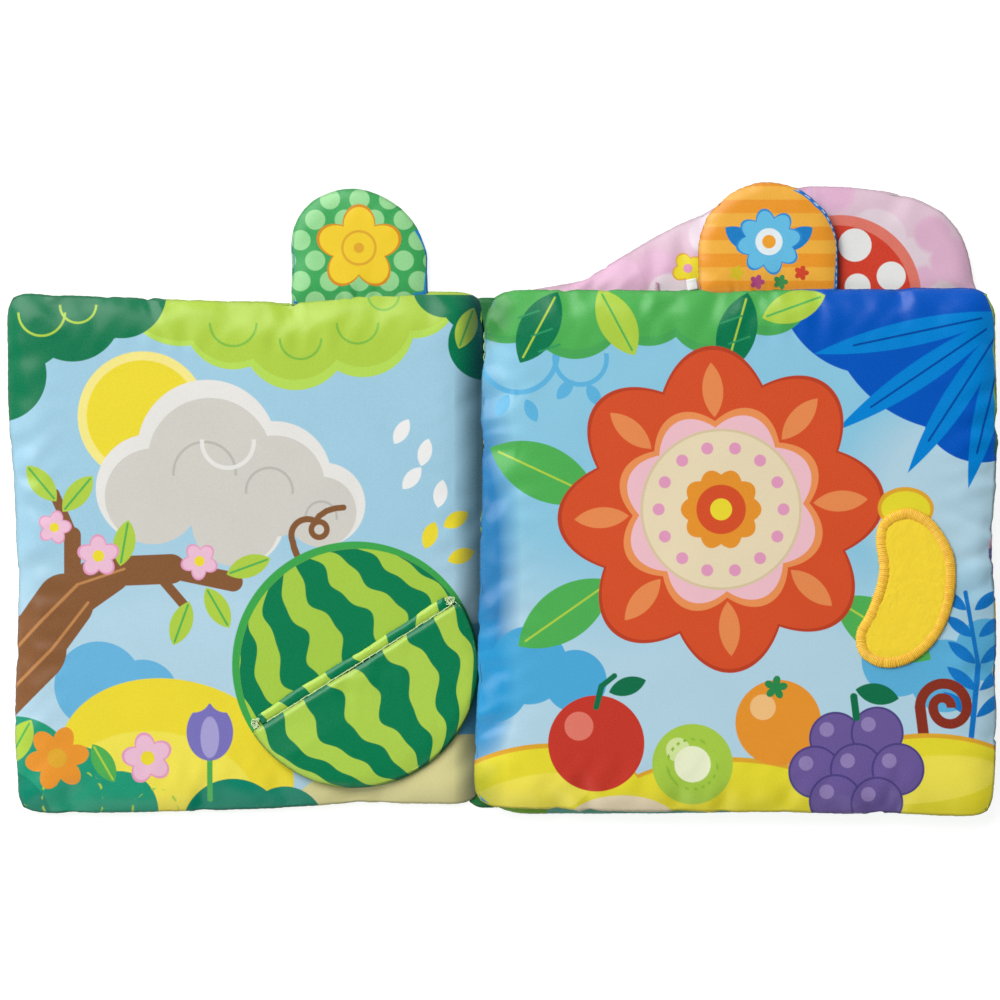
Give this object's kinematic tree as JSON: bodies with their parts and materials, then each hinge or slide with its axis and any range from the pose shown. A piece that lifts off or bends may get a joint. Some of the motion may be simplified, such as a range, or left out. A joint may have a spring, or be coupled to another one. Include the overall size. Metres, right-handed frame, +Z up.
{
  "type": "crinkle cloth book",
  "caption": "Soft cloth book lying open: padded fabric leaves bound at a gutter, with a lift flap, tabs on the top edge, a stitched patch and a hill-shaped back leaf.",
  "frame": {"origin": "on the table under the spine tape, in the middle of the gutter from left to right and halfway up the pages", "axes": "+X towards the right page, +Y towards the tops of the pages and their tabs, +Z up from the table, out of the open pages"},
  "size_m": [0.3834, 0.2406, 0.0143],
  "materials": {
    "front_page_fabric": "printed woven polyester",
    "front_cover_fabric": "printed woven polyester",
    "middle_page_fabric": "printed woven polyester",
    "middle_reverse_fabric": "printed woven polyester",
    "back_page_fabric": "printed woven polyester",
    "back_cover_fabric": "printed woven polyester",
    "left_tab_fabric": "printed woven polyester",
    "left_tab_reverse_fabric": "printed woven polyester",
    "right_tab_fabric": "printed woven polyester",
    "right_tab_reverse_fabric": "printed woven polyester",
    "flap_fabric": "printed woven polyester",
    "flap_reverse_fabric": "printed woven polyester",
    "flap_hem_fabric": "printed woven polyester",
    "patch_fabric": "short-pile plush",
    "patch_thread": "satin stitch",
    "spine_fabric": "printed woven polyester",
    "binding_fabric": "woven polyester",
    "ribbon_fabric": "woven ribbon",
    "green_thread": "sewing thread",
    "pale_thread": "sewing thread",
    "pink_thread": "sewing thread",
    "batting": "polyester wadding",
    "crinkle_film": "thin crackling film"
  },
  "bodies": {
    "back_leaf": {"back_leaf_face": "back_page_fabric", "back_leaf_back": "back_cover_fabric", "back_leaf_batting": "batting", "back_leaf_crinkle_film": "crinkle_film", "hill_bar_tack": "pink_thread", "spine_tape": "spine_fabric", "gutter_binding": "binding_fabric", "gutter_stitching": "green_thread"},
    "front_leaf": {"front_leaf_face": "front_page_fabric", "front_leaf_back": "front_cover_fabric", "front_leaf_batting": "batting", "front_leaf_crinkle_film": "crinkle_film", "flap_hem": "flap_hem_fabric", "flap_stitching": "green_thread", "flap_tack_lower": "pale_thread", "flap_tack_upper": "pale_thread"},
    "left_tab": {"left_tab_face": "left_tab_fabric", "left_tab_back": "left_tab_reverse_fabric", "left_tab_film": "crinkle_film"},
    "flap": {"flap_face": "flap_fabric", "flap_back": "flap_reverse_fabric", "flap_film": "crinkle_film"},
    "middle_leaf": {"middle_leaf_face": "middle_page_fabric", "middle_leaf_back": "middle_reverse_fabric", "middle_leaf_batting": "batting", "middle_leaf_crinkle_film": "crinkle_film", "fruit_patch": "patch_fabric", "fruit_patch_border": "patch_thread", "seam_ribbon": "ribbon_fabric"},
    "right_tab": {"right_tab_face": "right_tab_fabric", "right_tab_back": "right_tab_reverse_fabric", "right_tab_film": "crinkle_film"}
  },
  "joints": [
    {"name": "front_leaf_turn", "type": "hinge", "parent": "back_leaf", "child": "front_leaf", "pos_m": [0, 0, 0.0115], "axis": [0, 1, 0], "range_deg": [0, 180]},
    {"name": "middle_leaf_turn", "type": "hinge", "parent": "back_leaf", "child": "middle_leaf", "pos_m": [0, 0, 0.0115], "axis": [0, 1, 0], "range_deg": [-180, 0]},
    {"name": "flap_lift", "type": "hinge", "parent": "front_leaf", "child": "flap", "pos_m": [-0.0508, -0.044, 0.00835], "axis": [-0.8462, -0.5329, 0], "range_deg": [0, 180]},
    {"name": "left_tab_bend", "type": "hinge", "parent": "front_leaf", "child": "left_tab", "pos_m": [-0.0495, 0.101, 0.003], "axis": [-1, 0, 0], "range_deg": [-75, 0], "stiffness_Nm_per_rad": 0.004},
    {"name": "right_tab_bend", "type": "hinge", "parent": "middle_leaf", "child": "right_tab", "pos_m": [0.1082, 0.101, 0.0093], "axis": [1, 0, 0], "range_deg": [0, 75], "stiffness_Nm_per_rad": 0.004}
  ]
}
